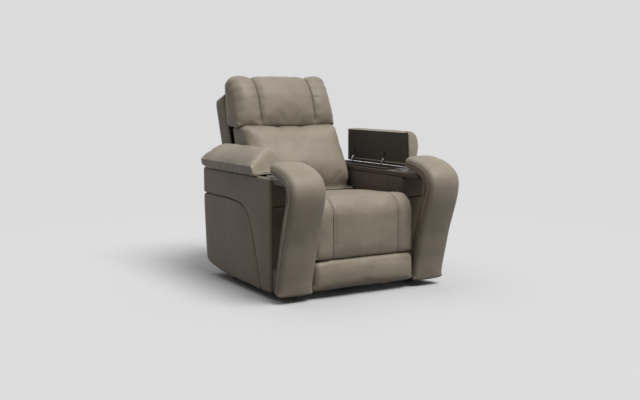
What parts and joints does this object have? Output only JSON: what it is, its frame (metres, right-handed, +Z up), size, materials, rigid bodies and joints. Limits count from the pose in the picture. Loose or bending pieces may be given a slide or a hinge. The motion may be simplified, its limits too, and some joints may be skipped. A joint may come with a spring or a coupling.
{
  "type": "cinema recliner seat",
  "caption": "Power recliner for home cinemas: leather seat, back and headrest between storage arms with padded lids, steel cup holders and curved padded fronts.",
  "frame": {"origin": "on the floor, in the seat's middle plane, 270 mm behind the fronts of the arm boxes", "axes": "+Z up, -Y the way the seat faces, +X to the right as seen from the front"},
  "size_m": [1.052, 1.2308, 1.074],
  "materials": {
    "leather": "soft taupe leather with a fine grain, satin",
    "side_leather": "the same taupe leather, pulled flat over boards",
    "lining": "dark lining",
    "plywood": "bare plywood",
    "dark_steel": "black powder coat",
    "zinc_steel": "zinc plated",
    "hinge_steel": "bright nickel plate",
    "cup_steel": "brushed",
    "button_metal": "satin",
    "black_plastic": "fine texture",
    "glide_plastic": "plain",
    "webbing": "woven elastic"
  },
  "bodies": {
    "base": {"base_rails": "dark_steel", "cross_tubes": "dark_steel", "glides": "glide_plastic", "seat_posts": "dark_steel", "seat_frame": "plywood", "seat_webbing": "webbing", "seat_cushion": "leather", "control_box": "black_plastic", "drive_brackets": "dark_steel", "foot_actuator": "black_plastic", "back_actuator": "black_plastic", "switch_plate": "black_plastic", "arm_frame_left": "plywood", "arm_band_left": "side_leather", "arm_side_panel_left": "side_leather", "arm_inner_panel_left": "side_leather", "arm_front_panel_left": "side_leather", "arm_rear_panel_left": "side_leather", "arm_top_left": "leather", "pad_board_left": "side_leather", "arm_pad_left": "leather", "bin_left": "lining", "cup_holder_left": "cup_steel", "lid_hinges_left": "hinge_steel", "arm_frame_right": "plywood", "arm_band_right": "side_leather", "arm_side_panel_right": "side_leather", "arm_inner_panel_right": "side_leather", "arm_front_panel_right": "side_leather", "arm_rear_panel_right": "side_leather", "arm_top_right": "leather", "pad_board_right": "side_leather", "arm_pad_right": "leather", "bin_right": "lining", "cup_holder_right": "cup_steel", "lid_hinges_right": "hinge_steel"},
    "leg_rest": {"footrest_arms": "zinc_steel", "footrest_board": "lining", "leg_pad": "leather", "foot_pad": "leather"},
    "leg_drive": {"drive_tube": "zinc_steel"},
    "leg_links": {"foot_links": "zinc_steel"},
    "leg_slider": {"foot_shuttle": "black_plastic"},
    "back": {"back_frame": "dark_steel", "back_shell": "side_leather", "back_cushion": "leather", "head_hinge": "dark_steel"},
    "back_slider": {"back_shuttle": "black_plastic"},
    "headrest": {"head_board": "dark_steel", "head_cushion": "leather"},
    "lid_left": {"lid_leaves_left": "hinge_steel", "lid_board_left": "lining", "lid_pad_left": "leather"},
    "lid_right": {"lid_leaves_right": "hinge_steel", "lid_board_right": "lining", "lid_pad_right": "leather"},
    "button_back_up": {"button_back_up": "button_metal"},
    "button_back_down": {"button_back_down": "button_metal"},
    "button_leg_out": {"button_leg_out": "button_metal"},
    "button_leg_in": {"button_leg_in": "button_metal"}
  },
  "joints": [
    {"name": "leg_rest_hinge", "type": "hinge", "parent": "base", "child": "leg_rest", "pos_m": [0, -0.305, 0.402], "axis": [-1, 0, 0], "range_deg": [0, 85]},
    {"name": "leg_drive_turn", "type": "hinge", "parent": "base", "child": "leg_drive", "pos_m": [0, -0.06, 0.23], "axis": [-1, 0, 0], "range_deg": [0, 85]},
    {"name": "leg_link_pivot", "type": "hinge", "parent": "leg_drive", "child": "leg_links", "pos_m": [0, -0.03, 0.155], "axis": [-1, 0, 0], "range_deg": [-85, 0]},
    {"name": "leg_slider_run", "type": "slide", "parent": "base", "child": "leg_slider", "axis": [0, 1, 0], "range_m": [-0.08157, 0]},
    {"name": "back_recline", "type": "hinge", "parent": "base", "child": "back", "pos_m": [0, 0.3, 0.37], "axis": [-1, 0, 0], "range_deg": [0, 38]},
    {"name": "back_slider_run", "type": "slide", "parent": "base", "child": "back_slider", "axis": [0, 1, 0], "range_m": [-0.04924, 0]},
    {"name": "headrest_tilt", "type": "hinge", "parent": "back", "child": "headrest", "pos_m": [0, 0.418, 0.8], "axis": [1, 0, 0], "range_deg": [0, 30]},
    {"name": "lid_left_hinge", "type": "hinge", "parent": "base", "child": "lid_left", "pos_m": [-0.4635, 0, 0.6115], "axis": [0, -1, 0], "range_deg": [0, 90]},
    {"name": "lid_right_hinge", "type": "hinge", "parent": "base", "child": "lid_right", "pos_m": [0.4635, 0, 0.6115], "axis": [0, -1, 0], "range_deg": [0, 90]},
    {"name": "push_back_up", "type": "slide", "parent": "base", "child": "button_back_up", "axis": [-1, 0, 0], "range_m": [0, 0.0015], "stiffness_N_per_m": 400},
    {"name": "push_back_down", "type": "slide", "parent": "base", "child": "button_back_down", "axis": [-1, 0, 0], "range_m": [0, 0.0015], "stiffness_N_per_m": 400},
    {"name": "push_leg_out", "type": "slide", "parent": "base", "child": "button_leg_out", "axis": [-1, 0, 0], "range_m": [0, 0.0015], "stiffness_N_per_m": 400},
    {"name": "push_leg_in", "type": "slide", "parent": "base", "child": "button_leg_in", "axis": [-1, 0, 0], "range_m": [0, 0.0015], "stiffness_N_per_m": 400}
  ],
  "couplings": [
    {"joint": "leg_drive_turn", "follows": "leg_rest_hinge", "ratio": 1},
    {"joint": "leg_link_pivot", "follows": "leg_rest_hinge", "ratio": -1},
    {"joint": "leg_slider_run", "follows": "leg_rest_hinge", "m_per_rad": -0.054647},
    {"joint": "back_slider_run", "follows": "back_recline", "m_per_rad": -0.073486}
  ]
}
